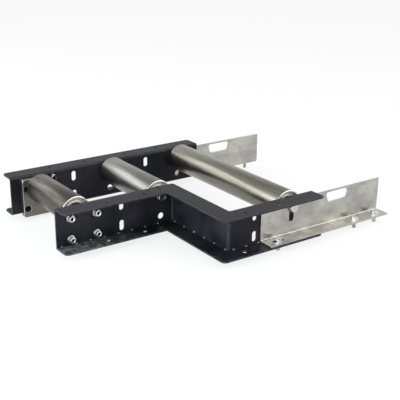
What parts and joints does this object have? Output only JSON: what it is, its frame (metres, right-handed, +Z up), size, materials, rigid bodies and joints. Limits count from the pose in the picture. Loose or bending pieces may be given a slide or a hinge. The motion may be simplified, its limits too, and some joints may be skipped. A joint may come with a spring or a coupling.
{
  "type": "roller outfeed table",
  "caption": "Stepped roller outfeed table for a workshop saw: steel rails carry idle rollers on ball bearings, and plated angle brackets bolt it to a longer roller conveyor.",
  "frame": {"origin": "the middle of the four base holes nearest the saw, on the underside of the rails", "axes": "+X along the rails from the saw end to the conveyor end, +Y across the rails from the stepped rail to the straight rail, +Z up; the rollers turn about Y"},
  "size_m": [0.64, 0.468, 0.1026],
  "materials": {
    "powder_coat": "satin anthracite powder coat",
    "plated_sheet": "zinc plated, satin, warm grey",
    "plated_fasteners": "zinc plated, bright",
    "roller_steel": "drawn steel tube, satin with lengthwise streaks",
    "turned_steel": "turned bare steel",
    "bearing_steel": "ground and polished",
    "black_steel": "blackened",
    "plated_pressings": "zinc plated pressing, warm",
    "seal_rubber": "matt"
  },
  "bodies": {
    "frame": {"far_rail": "powder_coat", "near_rail_web": "powder_coat", "near_rail_top_flange": "powder_coat", "near_rail_bottom_flange": "powder_coat", "near_rail_weld_beads": "powder_coat", "far_bearing_plate": "plated_sheet", "near_bearing_plate": "plated_sheet", "far_plate_screws": "black_steel", "near_plate_screws": "plated_fasteners", "far_plate_washers": "plated_fasteners", "near_plate_washers": "plated_fasteners", "far_plate_nuts": "plated_fasteners", "far_connection_plate": "plated_sheet", "near_connection_plate": "plated_sheet", "seat_bolts": "plated_fasteners", "seat_bolt_washers": "plated_fasteners", "seat_bolt_nuts": "plated_fasteners", "conveyor_bolts": "plated_fasteners", "axle_bolts": "plated_fasteners", "axle_bolt_washers": "plated_fasteners", "roller_1_axle": "turned_steel", "roller_1_circlips": "black_steel", "roller_1_inner_races": "bearing_steel", "roller_2_axle": "turned_steel", "roller_2_circlips": "black_steel", "roller_2_inner_races": "bearing_steel", "roller_3_axle": "turned_steel", "roller_3_circlips": "black_steel", "roller_3_inner_races": "bearing_steel"},
    "roller_1": {"roller_1_tube": "roller_steel", "roller_1_housings": "plated_pressings", "roller_1_outer_races": "bearing_steel", "roller_1_ball_sets": "bearing_steel", "roller_1_seals": "seal_rubber"},
    "roller_2": {"roller_2_tube": "roller_steel", "roller_2_housings": "plated_pressings", "roller_2_outer_races": "bearing_steel", "roller_2_ball_sets": "bearing_steel", "roller_2_seals": "seal_rubber"},
    "roller_3": {"roller_3_tube": "roller_steel", "roller_3_housings": "plated_pressings", "roller_3_outer_races": "bearing_steel", "roller_3_ball_sets": "bearing_steel", "roller_3_seals": "seal_rubber"}
  },
  "joints": [
    {"name": "roller_1_spin", "type": "hinge", "parent": "frame", "child": "roller_1", "pos_m": [-0.087, -0.008, 0.06], "axis": [0, 1, 0], "continuous": true},
    {"name": "roller_2_spin", "type": "hinge", "parent": "frame", "child": "roller_2", "pos_m": [0.089, -0.0025, 0.06], "axis": [0, 1, 0], "continuous": true},
    {"name": "roller_3_spin", "type": "hinge", "parent": "frame", "child": "roller_3", "pos_m": [0.265, -0.0955, 0.06], "axis": [0, 1, 0], "continuous": true}
  ]
}
